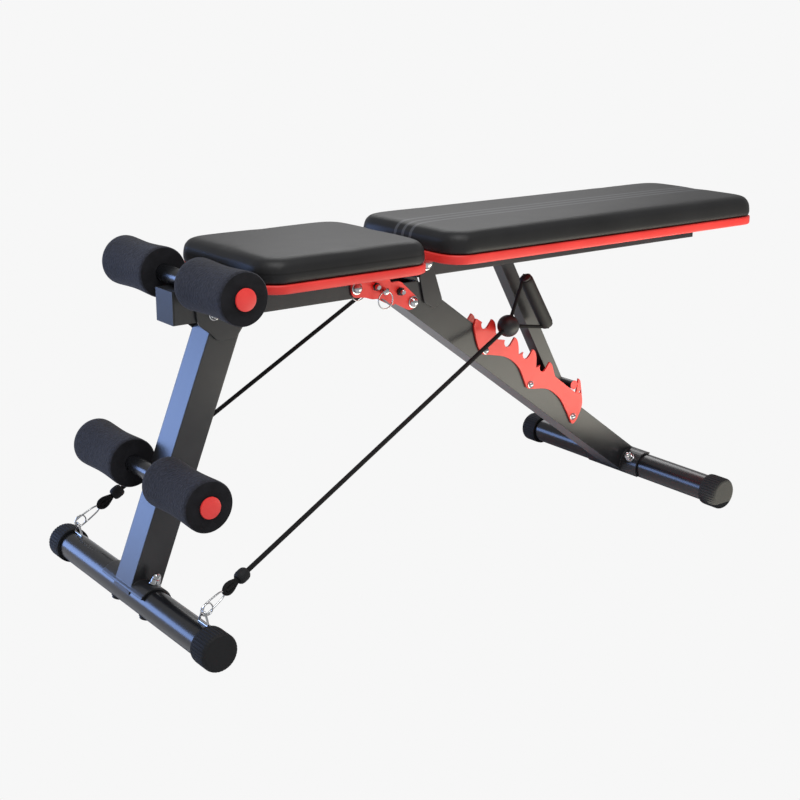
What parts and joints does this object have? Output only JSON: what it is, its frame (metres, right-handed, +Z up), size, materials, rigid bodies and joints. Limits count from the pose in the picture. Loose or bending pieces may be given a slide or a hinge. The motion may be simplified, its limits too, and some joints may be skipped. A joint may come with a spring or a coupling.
{
  "type": "adjustable_weight_bench",
  "caption": "Folding adjustable weight bench with red-edged black pads, foam leg rollers, a toothed backrest ladder with strut, rubber-capped feet and clip-on pull cords with handles.",
  "frame": {"origin": "on the floor under the middle of the bench: bounding box bottom centre", "axes": "+X from the foot rollers to the head end, +Y to the left side, +Z up"},
  "size_m": [1.067, 0.428, 0.453],
  "materials": {
    "frame_black": "satin black powder coat",
    "plate_red": "bright red powder coat, semi-gloss",
    "board_red": "red edge band round the pad boards",
    "cap_rubber": "matte black, finely ribbed",
    "black_plastic": "matte black moulded",
    "red_plastic": "red moulded plugs",
    "foam": "dark grey closed-cell foam, fine grain",
    "vinyl": "charcoal vinyl, fine grain",
    "chrome": "bright plated bolts, hooks and pins",
    "cord": "black braided elastic cord"
  },
  "bodies": {
    "rear_frame": {"rear_leg": "frame_black", "rear_foot_tube": "frame_black", "rear_foot_cap_right": "cap_rubber", "rear_foot_cap_left": "cap_rubber", "rear_foot_bolt_right": "chrome", "rear_foot_bolt_left": "chrome", "knuckle_plate_right": "plate_red", "knuckle_plate_left": "plate_red", "seat_pivot_bolt": "chrome", "knee_bolt_upper": "chrome", "knee_bolt_lower": "chrome", "backrest_ear_right": "frame_black", "backrest_ear_left": "frame_black", "backrest_pivot_bolt": "chrome", "ladder_plate_right": "plate_red", "ladder_plate_left": "plate_red", "ladder_bolt_1": "chrome", "ladder_bolt_2": "chrome", "ladder_bolt_3": "chrome", "pull_cord_right": "cord", "pull_cord_left": "cord", "pull_handle_right": "black_plastic", "pull_handle_left": "black_plastic"},
    "front_frame": {"seat_beam": "frame_black", "seat_beam_plug": "black_plastic", "front_leg": "frame_black", "front_foot_tube": "frame_black", "front_foot_cap_right": "cap_rubber", "front_foot_cap_left": "cap_rubber", "front_foot_bolt_right": "chrome", "front_foot_bolt_left": "chrome", "leg_gusset_right": "frame_black", "leg_gusset_left": "frame_black", "gusset_bolt": "chrome", "upper_roller_tube": "frame_black", "lower_roller_tube": "frame_black", "upper_roller_plug_right": "red_plastic", "upper_roller_plug_left": "red_plastic", "lower_roller_plug_right": "red_plastic", "lower_roller_plug_left": "red_plastic", "seat_board": "board_red", "seat_cushion": "vinyl", "cord_eye_right": "chrome", "cord_eye_left": "chrome", "snap_hook_right": "chrome", "snap_hook_left": "chrome"},
    "backrest": {"backrest_beam": "frame_black", "backrest_beam_plug": "black_plastic", "backrest_board": "board_red", "backrest_cushion": "vinyl", "strut_bolt": "chrome"},
    "strut": {"strut": "frame_black"},
    "upper_roller_right_foam": {"upper_roller_right": "foam"},
    "upper_roller_left_foam": {"upper_roller_left": "foam"},
    "lower_roller_right_foam": {"lower_roller_right": "foam"},
    "lower_roller_left_foam": {"lower_roller_left": "foam"},
    "pin_right": {"lock_pin_right": "chrome"},
    "ring_right": {"lock_ring_right": "chrome"},
    "pin_left": {"lock_pin_left": "chrome"},
    "ring_left": {"lock_ring_left": "chrome"}
  },
  "joints": [
    {"name": "front_fold", "type": "hinge", "parent": "rear_frame", "child": "front_frame", "pos_m": [-0.1795, 0, 0.379], "axis": [0, -1, 0], "range_deg": [0, 65], "deforming": ["pull_cord_right", "pull_cord_left"]},
    {"name": "backrest_tilt", "type": "hinge", "parent": "rear_frame", "child": "backrest", "pos_m": [-0.0625, 0, 0.4], "axis": [0, -1, 0], "range_deg": [0, 80]},
    {"name": "strut_swing", "type": "hinge", "parent": "backrest", "child": "strut", "pos_m": [0.0885, 0, 0.398], "axis": [0, -1, 0], "range_deg": [-90, 0]},
    {"name": "upper_roller_right_spin", "type": "hinge", "parent": "front_frame", "child": "upper_roller_right_foam", "pos_m": [-0.4282, -0.0965, 0.4183], "axis": [0, 1, 0], "continuous": true},
    {"name": "upper_roller_left_spin", "type": "hinge", "parent": "front_frame", "child": "upper_roller_left_foam", "pos_m": [-0.4282, 0.0965, 0.4183], "axis": [0, 1, 0], "continuous": true},
    {"name": "lower_roller_right_spin", "type": "hinge", "parent": "front_frame", "child": "lower_roller_right_foam", "pos_m": [-0.48269, -0.0965, 0.1784], "axis": [0, 1, 0], "continuous": true},
    {"name": "lower_roller_left_spin", "type": "hinge", "parent": "front_frame", "child": "lower_roller_left_foam", "pos_m": [-0.48269, 0.0965, 0.1784], "axis": [0, 1, 0], "continuous": true},
    {"name": "pin_right_pull", "type": "slide", "parent": "rear_frame", "child": "pin_right", "axis": [0, -1, 0], "range_m": [0, 0.02]},
    {"name": "ring_right_swing", "type": "hinge", "parent": "pin_right", "child": "ring_right", "pos_m": [-0.137, -0.0313, 0.371], "axis": [1, 0, 0], "range_deg": [-80, 0]},
    {"name": "pin_left_pull", "type": "slide", "parent": "rear_frame", "child": "pin_left", "axis": [0, 1, 0], "range_m": [0, 0.02]},
    {"name": "ring_left_swing", "type": "hinge", "parent": "pin_left", "child": "ring_left", "pos_m": [-0.137, 0.0313, 0.371], "axis": [1, 0, 0], "range_deg": [0, 80]}
  ],
  "couplings": [
    {"joint": "strut_swing", "follows": "backrest_tilt", "ratio": -1.12}
  ]
}
